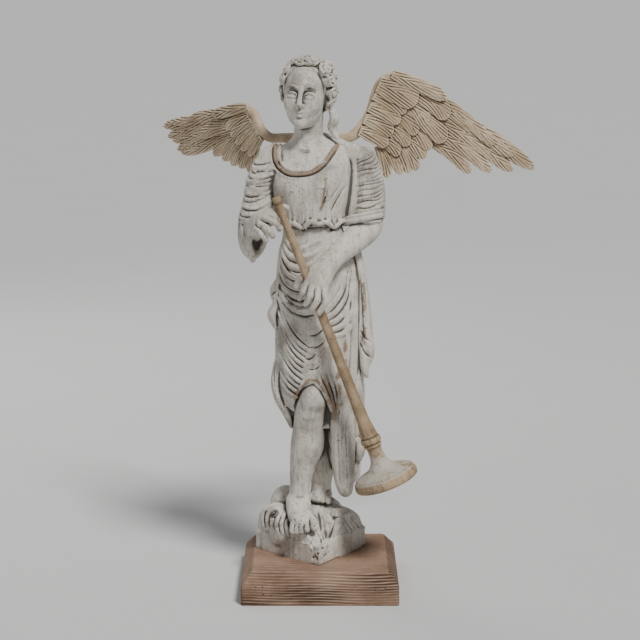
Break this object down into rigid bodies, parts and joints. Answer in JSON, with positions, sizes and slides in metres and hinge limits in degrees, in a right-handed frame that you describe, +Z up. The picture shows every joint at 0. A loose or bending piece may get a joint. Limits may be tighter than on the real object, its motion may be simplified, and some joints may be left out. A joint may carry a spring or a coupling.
{
  "type": "carved wooden angel statue",
  "caption": "Carved wooden angel in a gathered dress, two feathered wings spread, holding a long straight trumpet mouth down, standing barefoot on rock above a bevelled pine plinth.",
  "frame": {"origin": "the middle of the plinth's underside", "axes": "+Z up along the standing figure; -Y to the front, where the figure looks; +X to the figure's own left, the side of the trumpet's bell"},
  "size_m": [0.5128, 0.3429, 0.7119],
  "materials": {
    "gesso": "worn off-white ground over carved wood, matt",
    "wing_wood": "bare carved wood, dry and matt, traces of white ground",
    "trumpet_wood": "turned wood, smooth, satin",
    "pine": "old weathered pine, raised grain, matt",
    "iron": "dark oxidised iron"
  },
  "bodies": {
    "root": {"plinth": "pine", "figure": "gesso", "left_arm": "gesso", "left_wing": "wing_wood", "right_wing": "wing_wood", "trumpet": "trumpet_wood", "screw": "iron", "peg": "gesso"}
  },
  "joints": []
}
